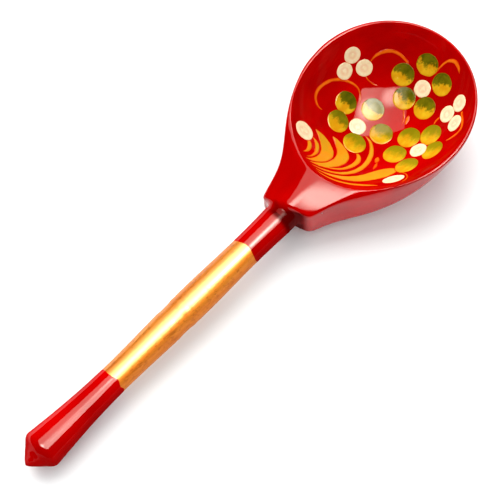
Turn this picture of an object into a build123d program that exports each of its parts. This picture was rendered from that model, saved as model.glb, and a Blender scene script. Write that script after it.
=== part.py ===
from build123d import *
import math
import os

# A painted wooden spoon in the golden-grass style: a carved linden head, a turned handle
# glued into it by a tenon, three coloured coats on the handle, and painting in the bowl.
# It lies on Z = 0 as it rests on a table, with +X towards the bowl.
# While it is being made, X = 0 is a datum inside the neck, and lengths start there.

# ------------------------------------------------------------ driving dimensions, mm
spoon_length = 198.6        # point of the handle to the far edge of the bowl
head_length = 82.1          # datum to the far edge of the bowl
root_at = -2.4              # where the handle meets the head
bowl_width = 60.4           # across the outside of the rim
bowl_depth = 25.5           # rim plane to the underside, outside, before the rest is flatted
widest_at = 50.2            # widest section of the bowl
rim_height = 21.6           # rim plane above the table at the datum
rim_rise = 4.5              # slope of the rim plane, degrees
shoulder_at = 1.1           # end face of the neck block
shoulder_width = 17.4       # across the neck block at that end face
shoulder_depth = 18.7       # rim plane to the underside there
shoulder_skew = 14.0        # degrees that the hand-cut end face is out of square
wall = 1.5                  # thickness of the rim at the sides
far_wall = 0.7              # and at the far end
hollow_reach = 34.7         # widest section to the hollow's edge at the neck
hollow_depth = 20.0         # rim plane to the hollow's floor
hollow_lift = 18.0          # centre of the hollow's curve above the rim plane
crown_end = 31.0            # where the neck's crowned top runs out
crown_start = -6.0          # where its fall is given
crown_drop = 4.5            # fall of the ridge itself at crown_start
left_slope = 0.8            # fall per mm to its left, at crown_start
right_slope = 0.58          # the same to its right
ridge = 3.0                 # half width of the rounding along the ridge
cove = 1.9                  # hollow fillet round the handle's root
block_corner = 1.6          # rounding of the neck block's corners
edge_round = 0.4            # worn rounding of every edge seen from above
worn_depth = 9.0            # such edges lie no deeper than this below the rim plane
axis_height = 11.5          # handle axis above the table at its root
root_radius = 5.55          # handle at its root
bulb_radius = 6.8           # largest ring of the handle, near its point
point_length = 7.5          # that ring to the point
point_radius = 0.8          # blunting of the point
tenon_radius = 3.5
tenon_length = 15.0
glue_gap = 0.1
paint_skin = 0.2            # lacquer and colour on the handle
gold_start = 15.1           # gold band, from the handle's root
gold_end = 75.6
film = 0.15                 # one layer of painted decoration
beyond = 60.0               # how far cutting shapes reach past what they cut

# ------------------------------------------------------------ derived sizes
half_width = bowl_width / 2
far_reach = head_length - widest_at
near_reach = (widest_at - shoulder_at) / math.sqrt(1 - (shoulder_depth / bowl_depth) ** 2)
cavity_height = hollow_depth + hollow_lift
rim_share = math.sqrt(1 - (hollow_lift / cavity_height) ** 2)
cavity_half_width = (half_width - wall) / rim_share
cavity_far = (far_reach - far_wall) / rim_share
cavity_near = hollow_reach / rim_share
handle_reach = spoon_length - head_length + root_at     # root of the handle to its point
bulb_at = handle_reach - point_length
handle_slope = math.asin((axis_height - bulb_radius) / bulb_at)

tilt = math.radians(rim_rise)
rim_frame = Plane(
    origin=(0, 0, rim_height),
    x_dir=(math.cos(tilt), 0, math.sin(tilt)),
    z_dir=(-math.sin(tilt), 0, math.cos(tilt)),
)
handle_frame = Plane(
    origin=(root_at, 0, axis_height),
    x_dir=(0, 1, 0),
    z_dir=(-math.cos(handle_slope), 0, -math.sin(handle_slope)),
)


def placed(shape, frame):
    """The shape moved from a frame's own coordinates to the spoon's."""
    return frame.location * shape


def slab(low, high):
    """A box between two corners."""
    size = [b - a for a, b in zip(low, high)]
    return Pos(*low) * Box(*size, align=(Align.MIN, Align.MIN, Align.MIN))


def peg(radius, start):
    """A round peg along the handle's axis, from a depth inside the head to the root."""
    return Pos(0, 0, -start) * Cylinder(
        radius, start, align=(Align.CENTER, Align.CENTER, Align.MIN)
    )


# ------------------------------------------------------------ the carved head
def egg(near, far, side, depth):
    """A solid egg about the origin: two half ellipsoids that share their widest section."""
    outline = [
        EllipticalCenterArc((0, 0), far, side, 0, arc_size=90),
        EllipticalCenterArc((0, 0), near, side, 90, arc_size=90),
        Line((-near, 0), (far, 0)),
    ]
    return scale(revolve(make_face(outline), Axis.X, 360), by=(1, 1, depth / side))


def cavity(inset=0.0):
    """The hollow of the bowl in the rim frame, smaller all round by inset."""
    solid = egg(
        cavity_near - inset,
        cavity_far - inset,
        cavity_half_width - inset,
        cavity_height - inset,
    )
    return Pos(widest_at, 0, hollow_lift) * solid


def plan():
    """The head seen from above: a narrow shoulder that flares in an S to the bowl."""
    half = shoulder_width / 2
    skew = half * math.tan(math.radians(shoulder_skew))
    clear = half_width + 6
    flare = [(11.5, 12.1), (22, 19.3), (33, 25.9), (46.5, half_width)]
    left_corner = (shoulder_at - skew, half)
    right_corner = (shoulder_at + skew, -half)
    left_flare = Spline([left_corner, *flare], tangents=[(1, 0.3), (1, 0.15)])
    right_flare = Spline(
        [right_corner, *[(x, -y) for x, y in flare]], tangents=[(1, -0.45), (1, -0.15)]
    )
    end = flare[-1][0]
    surround = Polyline(
        (end, half_width),
        (end + 6, clear),
        (head_length + 6, clear),
        (head_length + 6, -clear),
        (end + 6, -clear),
        (end, -half_width),
    )
    outline = make_face([left_flare, surround, right_flare, Line(right_corner, left_corner)])
    corners = [v for v in outline.vertices() if v.X < shoulder_at + 3]
    return fillet(corners, block_corner)


def crown_cutter():
    """Everything above the neck's top: a roof with a rounded ridge that falls to the shoulder."""
    reach = half_width + 8
    middle = (crown_start + crown_end) / 2
    peak = -crown_drop + (left_slope + right_slope) * ridge / 4
    left = [(y, peak - left_slope * y) for y in (reach, ridge)]
    right = [(-y, peak - right_slope * y) for y in (ridge, reach)]
    top = [left[1], (0, peak), right[0]]
    above = []
    for profile in (left, top, right):
        grid = [
            [Vector(crown_start, y, z) for y, z in profile],
            [Vector(middle, y, 0) for y, z in profile],
            [Vector(crown_end, y, 0) for y, z in profile],
        ]
        above.append(extrude(Face.make_bezier_surface(grid), amount=3 * beyond, dir=(0, 0, 1)))
    return above[0] + above[1] + above[2]


def collar():
    """The stub on the head that the handle butts against, with the handle's own radius."""
    depth = shoulder_at - root_at + 8
    return rim_frame.location.inverse() * placed(peg(root_radius, depth), handle_frame)


def along_ridge(edge):
    """Whether an edge is one of the two smooth seams beside the ridge."""
    box = edge.bounding_box()
    return box.size.Y < 0.1 and abs(abs(edge.center().Y) - ridge) < 0.1


def head_block():
    """The head before it is bored: a hull shaped outside, hollowed and cut to its rim."""
    hull = Pos(widest_at, 0, 0) * egg(near_reach, far_reach, half_width, bowl_depth)
    walls = Pos(0, 0, -bowl_depth - 4) * extrude(plan(), amount=bowl_depth + 8)
    above_rim = slab((crown_end, -beyond, 0), (head_length + beyond, beyond, beyond))
    block = (hull & walls) + collar()
    meeting = [
        e for e in block.edges() if e.is_closed and e.length > 25 and e.center().X > shoulder_at - 1.5
    ]
    block = fillet(meeting, cove)
    block = block - crown_cutter() - above_rim - cavity()
    upper = [
        e
        for e in block.edges()
        if e.bounding_box().min.Z > -worn_depth and e.length > 2 and not along_ridge(e)
    ]
    return fillet(upper, edge_round)


def bowl_head():
    head = placed(head_block(), rim_frame)
    socket = peg(tenon_radius + glue_gap, tenon_length + glue_gap)
    below_table = slab((-beyond, -beyond, -beyond), (head_length + beyond, beyond, 0))
    return head - placed(socket, handle_frame) - below_table


# ------------------------------------------------------------ the turned handle
def turned(skin):
    """The handle as a solid of revolution, from its root to its point, thinner by skin."""
    radii = [
        (root_radius, 0),
        (5.25, 17.6),
        (5.6, 36.6),
        (5.25, 57.6),
        (4.9, 74.6),
        (5.25, 87.6),
        (5.95, 97.6),
        (bulb_radius, bulb_at),
    ]
    side = Spline([(r - skin, station) for r, station in radii])
    ring = bulb_radius - skin
    point = handle_reach - skin
    ring_round = Bezier(
        (ring, bulb_at), (ring, bulb_at + 1.0), (ring - 0.9, bulb_at + 2.0)
    )
    tip = Bezier(
        ring_round @ 1, (point_radius + 0.9, point - 1.3), (point_radius, point), (0, point)
    )
    axis = Polyline((0, point), (0, 0), side @ 0)
    return revolve(Plane.XZ * make_face([side, ring_round, tip, axis]), Axis.Z, 360)


def handle():
    """Turned core with the tenon that goes into the head."""
    return placed(turned(paint_skin) + peg(tenon_radius, tenon_length), handle_frame)


def tenon_glue():
    """Glue line round the tenon and over its end."""
    outer = peg(tenon_radius + glue_gap, tenon_length + glue_gap)
    return placed(outer - peg(tenon_radius, tenon_length), handle_frame)


def coat(start, end):
    """The part of the handle's skin between two stations."""
    skin = turned(0) - turned(paint_skin)
    band = Pos(0, 0, start) * Cylinder(
        bulb_radius + 5, end - start, align=(Align.CENTER, Align.CENTER, Align.MIN)
    )
    return placed(skin & band, handle_frame)


# ------------------------------------------------------------ painting in the bowl
# Places are (x, y) in the rim frame, seen square to the rim, +Y to the spoon's left.
cream_radius = 3.1
yellow_radius = 4.1
dab_shift = 1.5                               # green dabs sit towards the bowl's far end

cream_places = [
    (58.9, 22.6), (53.6, 21.3), (59.8, 17.7), (43.9, 6.3), (68.3, -1.9), (69.4, -17.0),
    (65.3, -15.5), (63.1, -20.4), (49.9, -16.2),
]
long_cream_dabs = [                           # (x, y, radius along the rim, radius down the wall)
    (34.0, -18.8, 3.8, 3.1),
    (26.2, 14.9, 3.4, 4.4),
]
yellow_places = [
    (46.9, 14.6), (39.8, 11.8), (38.2, 2.6), (52.5, 6.9), (47.7, -1.4), (67.7, 6.6),
    (74.4, 1.5), (72.3, -7.0), (62.5, 1.2), (63.8, -7.0), (52.5, -10.0), (56.9, -15.8),
    (44.2, -10.7), (51.6, -20.8), (42.2, -17.7),
]

# Strokes are (x, y, half width) from one end to the other.
grass_strokes = [
    [(19.1, 9.0, 0), (21.6, 8.8, 0.5), (24.1, 10.1, 0.75), (25.5, 12.2, 0.3)],
    [(18.2, 7.4, 0), (21.7, 6.6, 0.4), (25.3, 7.9, 0.7), (27.3, 10.2, 0.6), (27.5, 12.3, 0)],
    [(18.0, 6.6, 0), (22.1, 4.6, 1.2), (27.1, 5.0, 2.2), (30.1, 9.0, 1.6), (30.8, 13.9, 0)],
    [(18.1, 5.2, 0), (21.6, 2.3, 0.9), (25.8, 0.7, 1.6), (30.7, 1.1, 2.2), (33.4, 5.0, 1.4),
     (34.2, 9.3, 0)],
    [(19.0, 3.2, 0), (21.8, 0.9, 0.3), (26.1, -2.4, 0.5), (30.5, -3.6, 0.8), (34.2, -3.1, 0.9),
     (35.8, -0.9, 0.4)],
    [(17.3, 4.4, 0), (20.2, 0.3, 0.4), (24.0, -3.7, 0.6), (28.0, -5.8, 0.8), (32.2, -6.4, 0.9),
     (36.8, -5.5, 0.9), (40.7, -3.3, 0.8), (42.9, -0.4, 0.5), (43.2, 2.8, 0)],
    [(17.1, 3.3, 0), (19.3, -1.4, 0.4), (23.0, -6.1, 1.1), (27.0, -9.5, 1.7), (32.0, -12.1, 2.2),
     (36.5, -14.5, 2.0), (38.8, -15.9, 0.8)],
    [(17.3, 2.3, 0), (18.3, -3.9, 0.3), (21.4, -9.2, 0.5), (25.2, -13.6, 0.5), (28.4, -17.6, 0)],
]
tendril_strokes = [
    [(38.7, 16.8, 0), (37.6, 18.8, 0.45), (38.7, 21.0, 0.5), (41.3, 22.3, 0.5),
     (44.6, 22.5, 0.5), (48.3, 21.7, 0.5), (51.2, 19.9, 0.5), (53.2, 17.4, 0.5),
     (53.7, 15.1, 0.45), (52.7, 12.9, 0.35), (50.2, 11.3, 0.2)],
    [(62.6, 17.4, 0.2), (65.0, 17.1, 0.4), (67.7, 15.8, 0.5), (69.7, 13.9, 0.5),
     (70.9, 11.2, 0.5), (71.0, 8.3, 0.4), (70.4, 6.0, 0.2)],
    [(58.6, 15.8, 0.3), (58.3, 14.2, 0.3), (58.9, 12.0, 0.25), (59.7, 10.6, 0.1)],
    [(73.5, -2.7, 0.2), (75.9, -2.9, 0.4), (77.9, -4.1, 0.5), (78.5, -6.3, 0.5),
     (77.6, -8.9, 0.4), (76.3, -10.5, 0)],
    [(60.0, -0.2, 0.35), (57.8, -2.8, 0.35), (54.6, -4.6, 0.1)],
    [(59.0, -3.9, 0.1), (57.4, -4.7, 0.7), (55.6, -5.2, 0.2)],
    [(63.5, -13.8, 0.4), (61.9, -13.5, 0.4), (60.0, -13.9, 0.1)],
    [(67.2, -19.7, 0.3), (64.1, -22.4, 0.4), (60.8, -24.1, 0.4), (58.4, -23.5, 0.5),
     (56.4, -22.0, 0.2)],
    [(38.0, -17.6, 0.3), (38.5, -20.4, 0.3), (36.6, -22.2, 0.3), (33.6, -22.2, 0.1)],
    [(39.9, -7.1, 0.1), (38.6, -7.6, 0.9), (37.1, -8.0, 0.2)],
    [(37.8, -8.4, 0.1), (35.8, -9.2, 0.6), (34.2, -9.7, 0.1)],
]


def wall_normal(x, y):
    """The point of the cavity's wall over (x, y), and its outward normal."""
    reach = cavity_near if x < widest_at else cavity_far
    across = (x - widest_at) / reach
    aside = y / cavity_half_width
    down = math.sqrt(1 - across ** 2 - aside ** 2)
    point = Vector(x, y, hollow_lift - cavity_height * down)
    normal = Vector(across / reach, aside / cavity_half_width, -down / cavity_height)
    return point, normal.normalized()


def dab(x, y, across, down):
    """An oval peg square to the wall: it cuts one dab of the brush out of a paint layer."""
    point, normal = wall_normal(x, y)
    level = normal.cross(Vector(0, 0, 1))
    here = Plane(origin=point, x_dir=level, z_dir=normal).location
    return here * extrude(Ellipse(across, down), amount=2.5, both=True)


def cream_dabs():
    return [dab(x, y, cream_radius, cream_radius) for x, y in cream_places] + [
        dab(*long_dab) for long_dab in long_cream_dabs
    ]


def yellow_dabs():
    return [dab(x, y, yellow_radius, yellow_radius) for x, y in yellow_places]


def stroke(points):
    """A brush stroke seen square to the rim, as a prism: pointed where its width is zero."""
    left, right = [], []
    last = len(points) - 1
    for i, (x, y, half) in enumerate(points):
        before = points[max(i - 1, 0)]
        after = points[min(i + 1, last)]
        along = Vector(after[0] - before[0], after[1] - before[1]).normalized()
        left.append((x - along.Y * half, y + along.X * half))
        right.append((x + along.Y * half, y - along.X * half))
    edges = [Spline(left), Spline(right)]
    for end in (0, last):
        if points[end][2] > 0:
            edges.append(Line(left[end], right[end]))
    return Pos(0, 0, -bowl_depth) * extrude(make_face(edges), amount=bowl_depth)


def layer(number):
    """One coat of paint on the cavity's wall: number 0 lies on the wood."""
    return cavity(number * film) - cavity((number + 1) * film)


def solids_of(shapes):
    """Every solid of the shapes, as one group."""
    return Compound(children=[s for shape in shapes for s in shape.solids()])


def cream_berries():
    here = layer(0)
    return placed(solids_of([here & berry for berry in cream_dabs()]), rim_frame)


def yellow_berries():
    """Yellow dabs, under the cream ones where they touch."""
    here = layer(0)
    for berry in cream_dabs():
        here = here - berry
    return placed(solids_of([here & berry for berry in yellow_dabs()]), rim_frame)


def green_berry_dabs():
    """Green on the far side of each yellow berry, in a second layer."""
    here = layer(1)
    dabs = []
    for x, y in yellow_places:
        whole = dab(x, y, yellow_radius - 0.1, yellow_radius - 0.1)
        shifted = dab(x + dab_shift, y, yellow_radius - 0.4, yellow_radius - 0.4)
        dabs.append(here & (whole & shifted))
    return placed(solids_of(dabs), rim_frame)


def strokes(lines):
    """Strokes in one layer, joined where they cross and ended where a berry covers them."""
    marks = stroke(lines[0])
    for line in lines[1:]:
        marks = marks + stroke(line)
    marks = layer(0) & marks
    for berry in cream_dabs() + yellow_dabs():
        marks = marks - berry
    return placed(solids_of([marks]), rim_frame)


# ------------------------------------------------------------ the whole spoon
pieces = {
    "bowl_head": bowl_head(),
    "handle": handle(),
    "tenon_glue": tenon_glue(),
    "neck_red_coat": coat(0, gold_start),
    "gold_band_coat": coat(gold_start, gold_end),
    "tip_red_coat": coat(gold_end, handle_reach + 1),
    "cream_berries": cream_berries(),
    "yellow_berries": yellow_berries(),
    "green_berry_dabs": green_berry_dabs(),
    "gold_grass": strokes(grass_strokes),
    "gold_tendrils": strokes(tendril_strokes),
}

# The origin is under the middle of the spoon's box, on the table.
boxes = [piece.bounding_box() for piece in pieces.values()]
middle_x = (min(b.min.X for b in boxes) + max(b.max.X for b in boxes)) / 2
middle_y = (min(b.min.Y for b in boxes) + max(b.max.Y for b in boxes)) / 2
lowest = min(b.min.Z for b in boxes)
print("datum at X", round(-middle_x, 3), "lowest point", round(lowest, 4))

os.makedirs("parts", exist_ok=True)
for name, piece in pieces.items():
    export_step(Pos(-middle_x, -middle_y, -lowest) * piece, f"parts/{name}.step")
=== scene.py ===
import math

import bmesh
import bpy
import numpy as np
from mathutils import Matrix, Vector, kdtree, noise


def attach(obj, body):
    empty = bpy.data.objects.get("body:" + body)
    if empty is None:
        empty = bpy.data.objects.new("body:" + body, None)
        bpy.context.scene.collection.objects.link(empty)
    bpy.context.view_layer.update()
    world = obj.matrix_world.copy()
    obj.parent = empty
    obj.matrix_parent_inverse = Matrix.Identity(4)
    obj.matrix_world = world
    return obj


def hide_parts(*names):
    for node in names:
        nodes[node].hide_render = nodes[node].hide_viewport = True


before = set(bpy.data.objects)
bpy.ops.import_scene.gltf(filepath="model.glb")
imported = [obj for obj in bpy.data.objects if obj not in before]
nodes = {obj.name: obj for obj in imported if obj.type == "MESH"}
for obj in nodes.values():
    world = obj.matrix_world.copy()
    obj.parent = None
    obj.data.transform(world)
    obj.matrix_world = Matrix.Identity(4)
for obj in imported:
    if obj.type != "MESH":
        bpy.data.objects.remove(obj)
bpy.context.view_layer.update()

MM = 0.001
noise.seed_set(1)           # the painting's outlines wander the same way every time

# ------------------------------------------------------------ the spoon's own sizes, mm
# They repeat the CAD part, so that the smooth surfaces here lie on its own.
datum_x = 17.24             # the CAD's own datum inside the neck
root_at = -2.4              # where the handle meets the head, from the datum
rim_height = 21.6
rim_rise = math.radians(4.5)
head_length = 82.1
widest_at = 50.2
half_width = 30.2
bowl_depth = 25.5
shoulder_at = 1.1
shoulder_depth = 18.7
shoulder_half = 8.7
shoulder_skew = math.radians(14)
wall = 1.5
cavity_lift = 18.0
cavity_height = 38.0
crown_start, crown_end = -6.0, 31.0
crown_drop, ridge = 4.5, 3.0
left_slope, right_slope = 0.8, 0.58
axis_height = 11.5
bulb_radius = 6.8
root_radius = 5.55
handle_reach = 114.1
painted_shade_side = 5.5           # the shade in the corner at the handle's root has ended this far left
collar_depth = 11.5         # how far the stub that the handle butts against runs into the neck
socket_radius = 4.3         # the tenon's socket lies within these two and stays as in the CAD
socket_depth = 18.0
gold_start, gold_end = 15.1, 75.6
film = 0.15
voxel = 0.40                # grain of the head's even mesh
pull_reach = 1.5            # points of that mesh this near the smooth surface are moved onto it
finest_edge = 0.42          # longest edge in a paint layer

rim_share = math.sqrt(1 - (cavity_lift / cavity_height) ** 2)
far_reach = head_length - widest_at
near_reach = (widest_at - shoulder_at) / math.sqrt(1 - (shoulder_depth / bowl_depth) ** 2)
cavity_axes = (
    34.7 / rim_share, (far_reach - 0.7) / rim_share, (half_width - wall) / rim_share, cavity_height
)
hull_axes = (near_reach, far_reach, half_width, bowl_depth)
handle_slope = math.asin((axis_height - bulb_radius) / (handle_reach - 7.5))
handle_axis = np.array([-math.cos(handle_slope), 0, -math.sin(handle_slope)])
handle_root = np.array([datum_x + root_at, 0, axis_height])


# ------------------------------------------------------------ the head as a smooth solid
def to_rim(p):
    """Points of the spoon, mm, in the frame of the bowl's rim."""
    x, z = p[:, 0] - datum_x, p[:, 2] - rim_height
    c, s = math.cos(rim_rise), math.sin(rim_rise)
    return np.stack([x * c + z * s, p[:, 1], -x * s + z * c], axis=1)


def egg(q, axes, lift=0.0):
    """Distance to an egg: two half ellipsoids that share their widest section."""
    near, far, side, deep = axes
    x = q[:, 0] - widest_at
    long = np.where(x < 0, near, far)
    w = q[:, 2] - lift
    reach = np.sqrt((x / long) ** 2 + (q[:, 1] / side) ** 2 + (w / deep) ** 2)
    slope = np.sqrt((x / long ** 2) ** 2 + (q[:, 1] / side ** 2) ** 2 + (w / deep ** 2) ** 2)
    return (reach - 1) * reach / np.maximum(slope, 1e-6)


def clamped_cubic(xs, ys, first, last):
    """A smooth curve through points, with the given slopes at its two ends."""
    xs, ys = np.array(xs, float), np.array(ys, float)
    n, h = len(xs), np.diff(xs)
    rows, right = np.zeros((n, n)), np.zeros(n)
    rows[0, 0] = rows[-1, -1] = 1
    right[0], right[-1] = first, last
    for i in range(1, n - 1):
        rows[i, i - 1:i + 2] = h[i], 2 * (h[i - 1] + h[i]), h[i - 1]
        right[i] = 3 * (h[i] * (ys[i] - ys[i - 1]) / h[i - 1] + h[i - 1] * (ys[i + 1] - ys[i]) / h[i])
    slopes = np.linalg.solve(rows, right)

    def curve(x):
        i = np.clip(np.searchsorted(xs, x) - 1, 0, n - 2)
        t = np.clip((x - xs[i]) / h[i], 0, 1)
        value = (
            (1 + 2 * t) * (1 - t) ** 2 * ys[i] + t * (1 - t) ** 2 * h[i] * slopes[i]
            + t * t * (3 - 2 * t) * ys[i + 1] + t * t * (t - 1) * h[i] * slopes[i + 1]
        )
        return value + np.minimum(x - xs[0], 0) * first + np.maximum(x - xs[-1], 0) * last

    return curve


flare = [(11.5, 12.1), (22, 19.3), (33, 25.9), (46.5, half_width)]
skew_reach = shoulder_half * math.tan(shoulder_skew)
left_wall = clamped_cubic(
    [shoulder_at - skew_reach] + [x for x, y in flare], [shoulder_half] + [y for x, y in flare], 0.3, 0.15
)
right_wall = clamped_cubic(
    [shoulder_at + skew_reach] + [x for x, y in flare], [shoulder_half] + [y for x, y in flare], 0.45, 0.15
)


def eased(t):
    """0 below 0, 1 above 1, and a smooth rise between."""
    t = np.clip(t, 0, 1)
    return t * t * (3 - 2 * t)


def along_handle(p):
    """Distance of points from the handle's root along its axis, and from the axis itself, mm."""
    from_root = p - handle_root
    station = from_root @ handle_axis
    return station, np.linalg.norm(from_root - station[:, None] * handle_axis, axis=1)


def smooth_max(a, b, round_):
    h = np.maximum(round_ - np.abs(a - b), 0) / round_
    return np.maximum(a, b) + h * h * round_ / 4


def smooth_min(a, b, round_):
    return -smooth_max(-a, -b, round_)


def head_field(p):
    """Below zero inside the head, above zero outside, in mm near its surface."""
    q = to_rim(p)
    u, v, w = q[:, 0], q[:, 1], q[:, 2]
    sides = np.where(v > 0, v - left_wall(u), -v - right_wall(u)) * 0.87
    end = (shoulder_at - v * math.tan(shoulder_skew) - u) * math.cos(shoulder_skew)
    block = smooth_max(smooth_max(sides, end, 1.5), egg(q, hull_axes), 1.0)
    station, beside = along_handle(p)
    collar = smooth_max(beside - root_radius, np.maximum(station, -station - collar_depth), 0.05)
    block = smooth_min(block, collar, 2.4)
    fall = np.maximum((crown_end - u) / (crown_end - crown_start), 0)
    peak = crown_drop - (left_slope + right_slope) * ridge / 4
    t = np.clip((ridge - v) / (2 * ridge), 0, 1)
    roof = peak + ((1 - t) ** 2 * left_slope + t ** 2 * right_slope) * ridge
    roof += np.maximum(v - ridge, 0) * left_slope + np.maximum(-v - ridge, 0) * right_slope
    top = (w + roof * fall ** 2) * 0.95
    soften = eased((u - 10) / 14) * eased((36 - u) / 10) * eased(-v / 4)
    block = smooth_max(block, top, 0.8 + 3.4 * soften)
    block = smooth_max(block, -egg(q, cavity_axes, cavity_lift), 0.7)
    return smooth_max(block, -p[:, 2], 0.5)


def painted_corner_shade_at(p):
    """1 in the shaded corner between the neck's end face and the handle, 0 elsewhere."""
    q = to_rim(p)
    u, v, w = q[:, 0], q[:, 1], q[:, 2]
    behind = (u - shoulder_at + v * math.tan(shoulder_skew)) * math.cos(shoulder_skew)
    below_top = -w - crown_drop * 0.6 - 0.9
    across = eased((painted_shade_side - v) / 5) * eased((v + 9.2) / 3.5)
    return eased(1.3 - behind) * across * eased(below_top / 1.2)


def slopes_of(field, p, step=0.01):
    """Gradient of a field by central differences."""
    out = np.zeros_like(p)
    for k in range(3):
        d = np.zeros(3)
        d[k] = step
        out[:, k] = (field(p + d) - field(p - d)) / (2 * step)
    return out


def settle(field, p, level=0.0, rounds=6, reach=0.8):
    """Points moved along the field's slope onto one of its levels."""
    p = p.copy()
    for _ in range(rounds):
        g = slopes_of(field, p)
        step = (field(p) - level)[:, None] * g / np.maximum((g * g).sum(1), 0.05)[:, None]
        size = np.linalg.norm(step, axis=1, keepdims=True)
        p -= step * np.minimum(1, reach / np.maximum(size, 1e-9))
    return p


def wall_field(p):
    """Depth into the bowl's hollow from its wall, mm."""
    return -egg(to_rim(p), cavity_axes, cavity_lift)


def points_of(mesh):
    co = np.zeros(len(mesh.vertices) * 3)
    mesh.vertices.foreach_get("co", co)
    return co.reshape(-1, 3) / MM


def set_points(mesh, p):
    mesh.vertices.foreach_set("co", (p * MM).ravel())
    mesh.update()


def new_piece(name, mesh, replaced, material):
    piece = bpy.data.objects.new(name, mesh)
    bpy.context.scene.collection.objects.link(piece)
    mesh.materials.clear()
    mesh.materials.append(material)
    mesh.polygons.foreach_set("use_smooth", [True] * len(mesh.polygons))
    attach(piece, "root")
    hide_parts(replaced)
    return piece


def add_attribute(mesh, name, values):
    layer = mesh.attributes.new(name, "FLOAT", "POINT")
    layer.data.foreach_set("value", np.asarray(values, np.float32))


# ------------------------------------------------------------ materials
class Nodes:
    """A small helper that adds nodes to a tree and links them in one line."""

    def __init__(self, tree):
        self.tree = tree

    def add(self, kind, inputs=None, **settings):
        node = self.tree.nodes.new(kind)
        for key, value in settings.items():
            setattr(node, key, value)
        for key, value in (inputs or {}).items():
            self.put(node.inputs[key], value)
        return node

    def put(self, socket, value):
        if isinstance(value, bpy.types.NodeSocket):
            self.tree.links.new(value, socket)
        else:
            socket.default_value = value

    def math(self, operation, a, b=0.0, c=0.0):
        node = self.add("ShaderNodeMath", operation=operation)
        for socket, value in zip(node.inputs, (a, b, c)):
            self.put(socket, value)
        return node.outputs[0]

    def span(self, value, low, high, to_low=0.0, to_high=1.0):
        """A value eased from low..high to to_low..to_high."""
        return self.add(
            "ShaderNodeMapRange",
            {"Value": value, "From Min": low, "From Max": high, "To Min": to_low, "To Max": to_high},
            interpolation_type="SMOOTHSTEP",
        ).outputs[0]

    def mix(self, factor, a, b):
        node = self.add("ShaderNodeMix", data_type="RGBA")
        self.put(node.inputs[0], factor)
        for socket, value in ((node.inputs[6], a), (node.inputs[7], b)):
            self.put(socket, value if isinstance(value, bpy.types.NodeSocket) else (*value, 1))
        return node.outputs[2]


class Finish(Nodes):
    """The nodes of one material, placed by the part's own coordinates."""

    def __init__(self, name):
        self.material = bpy.data.materials.new(name)
        self.material.use_nodes = True
        super().__init__(self.material.node_tree)
        self.shader = self.tree.nodes["Principled BSDF"]
        self.place = self.add("ShaderNodeTexCoord").outputs["Object"]

    def noise(self, scale, detail=2.0, stretch=(1, 1, 1), roughness=0.5):
        """Noise whose features are about 1 / scale metres, stretched along some axes."""
        spot = self.add("ShaderNodeMapping", {"Vector": self.place, "Scale": stretch}).outputs[0]
        return self.add(
            "ShaderNodeTexNoise",
            {"Vector": spot, "Scale": scale, "Detail": detail, "Roughness": roughness},
        ).outputs["Fac"]

    def attribute(self, name):
        return self.add("ShaderNodeAttribute", attribute_name=name).outputs["Fac"]

    def facing(self):
        """How far the surface faces up: 1 on top, 0 on an upright wall."""
        normal = self.add("ShaderNodeNewGeometry").outputs["Normal"]
        return self.add("ShaderNodeSeparateXYZ", {0: normal}).outputs[2]

    def bump(self, layers):
        """Bumps from (height 0..1, depth in mm) pairs, for the base and the varnish."""
        normal = None
        for height, depth in layers:
            node = self.add("ShaderNodeBump", {"Height": height, "Strength": 1.0, "Distance": depth * MM})
            if normal is not None:
                self.put(node.inputs["Normal"], normal)
            normal = node.outputs[0]
        return normal

    def finish(
        self, color, roughness, coat=0.38, coat_roughness=0.05, metallic=0.0, normal=None,
        coat_normal=None, specular=0.0,
    ):
        """The painted or varnished surface; the varnish follows normal unless it has its own."""
        s = self.shader.inputs
        self.put(s["Base Color"], color)
        self.put(s["Roughness"], roughness)
        self.put(s["Metallic"], metallic)
        self.put(s["Specular IOR Level"], specular)
        self.put(s["Coat Weight"], coat)
        self.put(s["Coat Roughness"], coat_roughness)
        self.put(s["Coat IOR"], 1.6)
        if normal is not None:
            self.put(s["Normal"], normal)
        if coat_normal is not None or normal is not None:
            self.put(s["Coat Normal"], coat_normal if coat_normal is not None else normal)
        return self.material


def lacquer(name, carved):
    """Deep red lacquer: thick, glossy, slightly wavy, with brushed depth and a little dust."""
    n = Finish(name)
    broad = n.noise(45, 3)
    brushed = n.noise(160, 3, stretch=(0.25, 1, 1), roughness=0.6)
    color = n.mix(n.span(broad, 0.3, 0.7), (0.35, 0.0, 0.0), (0.485, 0.0, 0.0))
    color = n.mix(n.span(brushed, 0.35, 0.75, 0, 0.45), color, (0.28, 0.0, 0.0))
    dust = n.add("ShaderNodeTexVoronoi", {"Vector": n.place, "Scale": 170.0}).outputs["Distance"]
    speck = n.span(dust, 0.0, 0.075, 1, 0)
    color = n.mix(n.math("MULTIPLY", speck, 0.8), color, (0.16, 0.0, 0.0))
    ripple = n.bump([(n.noise(70, 1), 0.10), (n.noise(380, 2), 0.012), (speck, 0.08)])
    rough = n.span(brushed, 0.3, 0.7, 0.30, 0.42)
    facing = n.facing()
    painted_corner_shade = n.attribute("painted_corner_shade")
    # Painted shade: darker red in the corner between the neck's end face and the handle.
    color = n.mix(n.math("MULTIPLY", painted_corner_shade, 0.8), color, (0.03, 0.0, 0.0))
    if carved:
        varnish = n.span(facing, 0.25, 0.7, 1.0, 0.5)
    else:
        varnish = n.span(facing, 0.5, 0.85, 0.05, 0.75)
        # Painted shade: the turned handle's sides and underside are darker red.
        color = n.mix(n.span(facing, 0.0, 0.75, 0.55, 0), color, (0.17, 0.0, 0.0))
    inside = n.span(facing, 0.62, 0.9, 0.1, 0.4)
    varnish = n.math("MULTIPLY_ADD", n.attribute("hollow"), n.math("SUBTRACT", inside, varnish), varnish)
    # The varnish is thinned in that painted-shade corner as well.
    varnish = n.math("MULTIPLY", varnish, n.span(painted_corner_shade, 0, 1, 1.0, 0.15))
    return n.finish(color, rough, coat=varnish, coat_roughness=0.035, normal=ripple)


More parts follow.
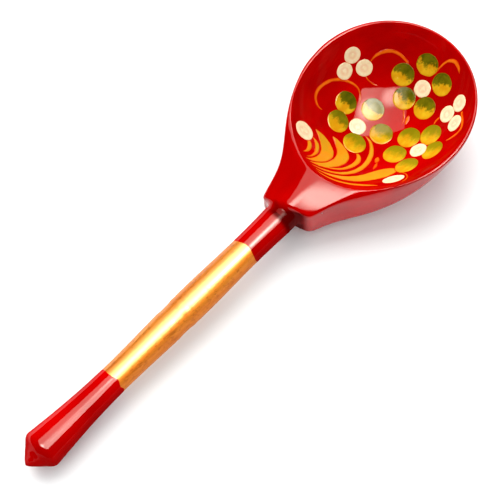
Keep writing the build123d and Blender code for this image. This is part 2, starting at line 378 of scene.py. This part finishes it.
def gold():
    """Tin gold under yellowed varnish: fine streaks along the handle, painted shade darkening its sides to
    a deeper orange and a painted highlight paling its top.
    """
    n = Finish("tin_gold")
    streak = n.noise(420, 5, stretch=(0.06, 1, 1), roughness=0.65)
    patch = n.noise(60, 3, stretch=(0.4, 1, 1))
    grain = n.noise(950, 3, stretch=(0.6, 1, 1), roughness=0.7)
    color = n.mix(n.span(streak, 0.3, 0.7), (0.62, 0.18, 0.014), (0.80, 0.30, 0.035))
    color = n.mix(n.span(patch, 0.35, 0.75, 0, 0.5), color, (0.68, 0.24, 0.035))
    pit = n.span(n.noise(240, 3, stretch=(0.5, 1, 1)), 0.62, 0.72)
    scratch = n.span(n.noise(900, 3, stretch=(0.15, 1, 1)), 0.6, 0.75)
    color = n.mix(n.math("MULTIPLY", n.math("MAXIMUM", pit, scratch), 0.5), color, (0.36, 0.10, 0.012))
    facing = n.facing()
    # Painted shade: the band's sides and underside are a darker orange.
    color = n.mix(n.span(facing, 0.2, 0.8, 0.55, 0), color, (0.46, 0.12, 0.008))
    color = n.mix(n.span(grain, 0.48, 0.68, 0, 0.5), color, (0.38, 0.10, 0.01))
    # Painted highlight: the top of the band is paler.
    color = n.mix(n.span(facing, 0.85, 1.0, 0, 0.5), color, (0.88, 0.48, 0.17))
    rough = n.span(streak, 0.3, 0.7, 0.56, 0.46)
    bump = n.bump([(streak, 0.03), (grain, 0.012)])
    smooth = n.bump([(n.noise(80, 1), 0.06), (streak, 0.008)])
    varnish = n.span(facing, 0.4, 0.9, 0.25, 1.0)
    return n.finish(
        color, rough, coat=varnish, coat_roughness=0.26, metallic=0.6, normal=bump, coat_normal=smooth
    )


def paint_ripple(n, height):
    return n.bump([(n.noise(70, 1), 0.08), (height, 0.03)])


def cream():
    """Cream dab: turned on with a stiff brush, so a faint red ring shows through."""
    n = Finish("cream_paint")
    inward = n.attribute("inward")
    swirl = n.noise(900, 4, roughness=0.6)
    wobble = n.math("ADD", inward, n.math("MULTIPLY", n.math("SUBTRACT", swirl, 0.5), 0.55))
    color = n.mix(n.span(swirl, 0.35, 0.65), (0.763, 0.638, 0.392), (0.804, 0.726, 0.497))
    ring = n.math("MULTIPLY", n.span(wobble, 0.42, 0.62), n.span(wobble, 0.66, 0.9, 1, 0))
    color = n.mix(n.math("MULTIPLY", ring, 0.38), color, (0.706, 0.399, 0.235))
    color = n.mix(n.span(inward, 0.0, 0.10, 0.55, 0), color, (0.739, 0.383, 0.196))
    return n.finish(color, 0.4, coat_roughness=0.05, normal=paint_ripple(n, swirl))


def berry(name, shift):
    """Yellow berry with olive green dabbed over its far side by a dry brush."""
    n = Finish(name)
    lean = n.attribute("lean")
    inward = n.attribute("inward")
    dry = n.noise(800, 5, stretch=(0.55, 1, 1), roughness=0.7)
    brush = n.noise(420, 3, stretch=(0.35, 1, 1))
    color = n.mix(n.span(brush, 0.35, 0.7), (0.57, 0.30, 0.008), (0.64, 0.42, 0.018))
    color = n.mix(n.span(lean, -1.0, -0.45, 0.6, 0), color, (0.62, 0.24, 0.006))
    ragged = n.math("ADD", lean, n.math("MULTIPLY", n.math("SUBTRACT", dry, 0.5), 1.5))
    ragged = n.math("ADD", ragged, n.math("MULTIPLY", n.math("SUBTRACT", brush, 0.5), 1.0))
    island_nearness = n.attribute("island_nearness")
    olive = n.mix(n.span(brush, 0.3, 0.7), (0.085, 0.095, 0.002), (0.17, 0.16, 0.005))
    olive = n.mix(n.span(ragged, 0.35, 0.95, 0, 0.6), olive, (0.055, 0.062, 0.003))
    # Berries lying nearer the datum along away get a paler olive and a softer edge to their green.
    olive = n.mix(n.math("MULTIPLY", island_nearness, 0.65), olive, (0.34, 0.28, 0.006))
    soft = n.math("MULTIPLY_ADD", island_nearness, 0.35, 0.2)
    color = n.mix(n.span(ragged, n.math("SUBTRACT", shift, soft), n.math("ADD", shift, soft)), color, olive)
    color = n.mix(n.span(inward, 0.0, 0.08, 0.4, 0), color, (0.456, 0.152, 0.0076))
    return n.finish(color, 0.4, coat_roughness=0.05, normal=paint_ripple(n, dry))


def strokes(name, thin, full, streak_color):
    """Gold brush strokes: dense in the middle, thinner and redder towards edges and tails."""
    n = Finish(name)
    edge = n.attribute("edge")
    streak = n.noise(520, 4, stretch=(1, 0.5, 1), roughness=0.65)
    patch = n.noise(140, 2)
    color = n.mix(n.span(patch, 0.35, 0.65), full, streak_color)
    thinness = n.math("ADD", edge, n.math("MULTIPLY", n.math("SUBTRACT", streak, 0.5), 0.7))
    color = n.mix(n.span(thinness, 0.05, 0.55, 0.85, 0), color, thin)
    return n.finish(color, 0.4, coat_roughness=0.05, normal=paint_ripple(n, streak))


def plain_wood():
    """Turned linden: fine pale grain along the handle."""
    n = Finish("bare_linden")
    grain = n.noise(300, 5, stretch=(0.05, 1, 1), roughness=0.6)
    color = n.mix(n.span(grain, 0.3, 0.7), (0.52, 0.36, 0.20), (0.72, 0.55, 0.36))
    return n.finish(color, 0.6, coat=0.0, normal=n.bump([(grain, 0.05)]))


def dried_glue():
    n = Finish("dried_glue")
    cloud = n.noise(500, 3)
    color = n.mix(n.span(cloud, 0.3, 0.7), (0.60, 0.50, 0.32), (0.78, 0.70, 0.50))
    return n.finish(color, 0.45, coat=0.0, normal=n.bump([(cloud, 0.05)]))


red = lacquer("head_lacquer", True)
turned_red = lacquer("handle_lacquer", False)


# ------------------------------------------------------------ the head
def make_head():
    mesh = nodes["bowl_head"].data.copy()
    piece = new_piece("lacquered_head", mesh, "bowl_head", red)
    remesh = piece.modifiers.new("even", "REMESH")
    remesh.mode = "VOXEL"
    remesh.voxel_size = voxel * MM
    depsgraph = bpy.context.evaluated_depsgraph_get()
    even = bpy.data.meshes.new_from_object(piece.evaluated_get(depsgraph))
    piece.modifiers.clear()
    piece.data = even
    even.materials.clear()
    even.materials.append(red)
    p = points_of(even)
    near = np.abs(head_field(p)) < pull_reach
    station, beside = along_handle(p)
    near &= (beside > socket_radius) | (station < -socket_depth) | (station > 1)
    p[near] = settle(head_field, p[near])
    set_points(even, p)
    add_attribute(even, "hollow", eased(1 - np.abs(wall_field(p)) / 0.6))
    # Where this is 1 the lacquer gets painted shade: the corner between the neck's end face and the handle.
    add_attribute(even, "painted_corner_shade", painted_corner_shade_at(p))
    even.polygons.foreach_set("use_smooth", [True] * len(even.polygons))
    return piece


# ------------------------------------------------------------ the handle
def handle_profile():
    """Radius of the handle against the distance from its root, from the coats' own rings."""
    rings = {}
    for name in ("neck_red_coat", "gold_band_coat", "tip_red_coat"):
        station, beside = along_handle(points_of(nodes[name].data))
        for s, r in zip(np.round(station / 0.05) * 0.05, beside):
            rings[s] = max(rings.get(s, 0), r)
    s = np.array(sorted(rings))
    r = np.array([rings[k] for k in s])
    return s, r


def lathe(name, replaced, material, start, end, lift, wave, closed_end=False):
    """A turned coat between two stations, whose ends wander a little as a brush does."""
    around = 160
    s_all, r_all = handle_profile()
    steps = max(int((end - start) / 0.4), 8)
    side = np.cross(handle_axis, [0, 1, 0])
    verts, faces = [], []
    for i in range(steps + 1):
        t = i / steps
        for j in range(around):
            a = 2 * math.pi * j / around
            ring = Vector((math.cos(a) * 1.7, math.sin(a) * 1.7, start * 0.37 + 5))
            low = start + wave[0] * noise.noise(ring)
            high = end + wave[1] * noise.noise(ring + Vector((9.1, 3.3, 1.7)))
            s = low + (high - low) * t
            window = s + np.linspace(-0.7, 0.7, 5) * (1 if s < handle_reach - 10 else 0.35)
            r = float(np.interp(window, s_all, r_all).mean())
            rise = lift
            if wave[0] or start < 0:
                rise = rise * min((s - low) / 0.35, 1) - 0.03 * max(1 - (s - low) / 0.35, 0)
            if wave[1]:
                rise = rise * min((high - s) / 0.25, 1) - 0.02 * max(1 - (high - s) / 0.25, 0)
            if closed_end and i == steps:
                r = 0.02
            if not (closed_end and i == steps):
                r += rise
            c = handle_root + handle_axis * s
            verts.append((c + r * (math.cos(a) * np.array([0, 1, 0]) + math.sin(a) * side)) * MM)
    for i in range(steps):
        for j in range(around):
            k = (j + 1) % around
            faces.append((i * around + j, i * around + k, (i + 1) * around + k, (i + 1) * around + j))
    mesh = bpy.data.meshes.new(name)
    mesh.from_pydata([tuple(v) for v in verts], [], faces)
    bm = bmesh.new()
    bm.from_mesh(mesh)
    bmesh.ops.recalc_face_normals(bm, faces=bm.faces)
    bm.to_mesh(mesh)
    bm.free()
    # Painted shade on the neck coat next to its root, in the corner against the neck's end face.
    if start < 0:
        p = points_of(mesh)
        shade = eased(1 - (along_handle(p)[0] + 0.2) / 2.0) * eased((painted_shade_side - p[:, 1]) / 5)
        add_attribute(mesh, "painted_corner_shade", shade)
    return new_piece(name, mesh, replaced, material)


# ------------------------------------------------------------ the painting
dabbed_side = np.array([0.97, 0.25, 0.0])   # the green is dabbed over this side of each berry
away = (0.72, 0.69)         # over the table, the way the photo's viewer looks
soft_reach, soft_fade = 46, 18      # mm that way from the datum: berries nearer than 46 soften over 18


def islands(bm):
    """Groups of vertices that hang together."""
    seen, groups = set(), []
    for start in bm.verts:
        if start in seen:
            continue
        group, queue = [], [start]
        seen.add(start)
        while queue:
            v = queue.pop()
            group.append(v)
            for e in v.link_edges:
                w = e.other_vert(v)
                if w not in seen:
                    seen.add(w)
                    queue.append(w)
        groups.append(group)
    return groups


def painted(node, name, material, level, wobble=0.12):
    """A paint layer laid again on the bowl's wall: soft edges, a brushed outline, a little body."""
    bm = bmesh.new()
    bm.from_mesh(nodes[node].data)
    depth = wall_field(np.array([v.co for v in bm.verts]) / MM)
    top = {v for v, d in zip(bm.verts, depth) if d > (level + 0.6) * film}
    bmesh.ops.delete(bm, geom=[f for f in bm.faces if not all(v in top for v in f.verts)], context="FACES")
    bmesh.ops.remove_doubles(bm, verts=bm.verts, dist=0.004 * MM)
    for _ in range(6):
        long = [e for e in bm.edges if e.calc_length() > finest_edge * MM]
        if not long:
            break
        bmesh.ops.subdivide_edges(bm, edges=long, cuts=1)
        bmesh.ops.triangulate(bm, faces=[f for f in bm.faces if len(f.verts) > 3])
    bm.verts.index_update()
    border = [v.co.copy() for v in bm.verts if v.is_boundary]
    tree = kdtree.KDTree(len(border))
    for i, co in enumerate(border):
        tree.insert(co, i)
    tree.balance()
    count = len(bm.verts)
    inset = np.array([tree.find(v.co)[2] for v in bm.verts]) / MM
    inward, lean, island_nearness = np.zeros(count), np.zeros(count), np.zeros(count)
    for group in islands(bm):
        spot = np.array([v.index for v in group])
        centre = np.mean([np.array(v.co) for v in group], axis=0)
        most = max(inset[spot].max(), 0.05)
        inward[spot] = inset[spot] / most
        size = max(np.linalg.norm(np.array([v.co for v in group]) - centre, axis=1).max(), 1e-6)
        lean[spot] = [(np.array(v.co) - centre) @ dabbed_side / size for v in group]
        # 1 for islands lying nearer the datum along away, fading to 0 by soft_reach.
        out = (soft_reach - (centre[0] / MM - datum_x) * away[0] - centre[1] / MM * away[1]) / soft_fade
        island_nearness[spot] = eased(out)
    p = np.array([v.co for v in bm.verts]) / MM
    shift = np.array([noise.noise_vector(Vector(q) * 0.55) for q in p]) * wobble
    body = eased(inset / (0.35 + level * 0.9))
    # The first layer's edge sinks into the wall, and the second layer's into the first.
    height = -0.02 + body * film * 1.1 if level == 0 else 0.13 + body * 0.045
    p = settle(wall_field, p + shift, level=height, rounds=4)
    mesh = bpy.data.meshes.new(name)
    bm.to_mesh(mesh)
    bm.free()
    set_points(mesh, p)
    add_attribute(mesh, "inward", inward)
    add_attribute(mesh, "lean", lean)
    add_attribute(mesh, "island_nearness", island_nearness)
    add_attribute(mesh, "edge", np.clip(inset / 1.0, 0, 1))
    return new_piece(name, mesh, node, material)


make_head()
lathe("neck_lacquer", "neck_red_coat", turned_red, -0.9, gold_start, 0.04, (0, 0.8))
lathe("gold_band", "gold_band_coat", gold(), gold_start - 1, gold_end + 1, 0.0, (0, 0))
lathe(
    "tip_lacquer", "tip_red_coat", turned_red, gold_end, handle_reach, 0.05, (0.9, 0),
    closed_end=True,
)
painted("gold_tendrils", "painted_tendrils",
        strokes("tendril_paint", (0.50, 0.03, 0.0), (0.68, 0.14, 0.006), (0.76, 0.20, 0.012)), 0, 0.12)
painted("gold_grass", "painted_grass",
        strokes("grass_paint", (0.62, 0.11, 0.006), (0.68, 0.25, 0.012), (0.56, 0.29, 0.016)), 0, 0.10)
painted("yellow_berries", "painted_berries", berry("yellow_berry_paint", 0.05), 0)
painted("green_berry_dabs", "painted_dabs", berry("green_berry_paint", -0.25), 1)
painted("cream_berries", "painted_cream", cream(), 0)

for node, material in (("handle", plain_wood()), ("tenon_glue", dried_glue())):
    nodes[node].data.materials.clear()
    nodes[node].data.materials.append(material)

# ------------------------------------------------------------ floor, light and camera
floor_mesh = bpy.data.meshes.new("floor")
reach = 3.0
floor_mesh.from_pydata(
    [(-reach, -reach, 0), (reach, -reach, 0), (reach, reach, 0), (-reach, reach, 0)], [], [(0, 1, 2, 3)]
)
floor = bpy.data.objects.new("floor", floor_mesh)
bpy.context.scene.collection.objects.link(floor)
floor.location.z = -0.0001
paper = Finish("paper_floor")
shade = paper.mix(paper.noise(3, 2), (0.845, 0.865, 0.86), (0.865, 0.885, 0.88))
floor_mesh.materials.append(paper.finish(shade, 0.8, coat=0.0, specular=0.1))


def area_light(name, aim_from, size, radiance, glossy=True, diffuse=True, color=(1, 1, 1)):
    """A soft box that looks at the spoon from a place, with a given brightness."""
    data = bpy.data.lights.new(name, "AREA")
    data.shape = "RECTANGLE"
    data.size, data.size_y = size
    data.energy = radiance * math.pi * size[0] * size[1]
    data.color = color
    light = bpy.data.objects.new(name, data)
    bpy.context.scene.collection.objects.link(light)
    light.location = aim_from
    light.rotation_euler = (-Vector(aim_from)).to_track_quat("-Z", "Y").to_euler()
    light.visible_glossy = glossy
    light.visible_diffuse = diffuse
    return light


def glow(light, size, base, lamps):
    """Uneven light over a soft box: lamps at places on it, m from its middle, behind the cloth."""
    light.data.use_nodes = True
    n = Nodes(light.data.node_tree)
    spot = n.add("ShaderNodeSeparateXYZ", {0: n.add("ShaderNodeNewGeometry").outputs["Parametric"]})
    x, y = [n.math("MULTIPLY", n.math("SUBTRACT", spot.outputs[k], 0.5), size[k]) for k in (0, 1)]
    total = n.span(x, -0.2, 0.2, base[0], base[1])
    for place, inner, outer, strength in lamps:
        dx = n.math("SUBTRACT", x, place[0])
        dy = n.math("SUBTRACT", y, place[1])
        gap = n.math("SQRT", n.math("ADD", n.math("MULTIPLY", dx, dx), n.math("MULTIPLY", dy, dy)))
        total = n.math("ADD", total, n.span(gap, outer, inner, 0, strength))
    for value, half in ((x, size[0] / 2), (y, size[1] / 2)):
        total = n.math("MULTIPLY", total, n.span(n.math("ABSOLUTE", value), half, half - hem))
    n.put(n.tree.nodes["Emission"].inputs["Strength"], total)


box_size = (0.72, 0.70)
hem = 0.03                  # the box's brightness fades out over this much at its edge
box_turn = -48              # degrees, so that its shine stands about upright in the photo's view
box = area_light("overhead", (0.113, -0.003, 0.6), box_size, 1.0, diffuse=False, color=(1.0, 0.96, 0.86))
box.rotation_euler = (0, 0, math.radians(box_turn))
near_lamp = ((0.17, -0.04), 0.03, 0.19, 19.0)
far_lamp = ((-0.12, -0.20), 0.05, 0.18, 13.0)
glow(box, box_size, (3.4, 7.4), [near_lamp, far_lamp])
area_light("key", (0.45, 0.75, 1.1), (1.6, 1.6), 2.7, glossy=False, color=(1.0, 0.98, 0.96))

world = bpy.data.worlds.new("studio")
bpy.context.scene.world = world
world.use_nodes = True
world.node_tree.nodes["Background"].inputs["Color"].default_value = (0.97, 0.985, 1.0, 1)
world.node_tree.nodes["Background"].inputs["Strength"].default_value = 0.88
world.cycles_visibility.glossy = False

camera_data = bpy.data.cameras.new("camera")
camera_data.sensor_width = 36
camera_data.lens = 101.85
camera_data.clip_start, camera_data.clip_end = 0.01, 20
camera = bpy.data.objects.new("camera", camera_data)
bpy.context.scene.collection.objects.link(camera)
camera.location = (-0.13471, -0.13193, 0.43914)
camera.rotation_euler = Vector((0.29066, 0.28024, -0.91487)).to_track_quat("-Z", "Y").to_euler()
bpy.context.scene.camera = camera
bpy.context.scene.view_settings.view_transform = "Standard"
bpy.context.scene.view_settings.look = "Medium High Contrast"
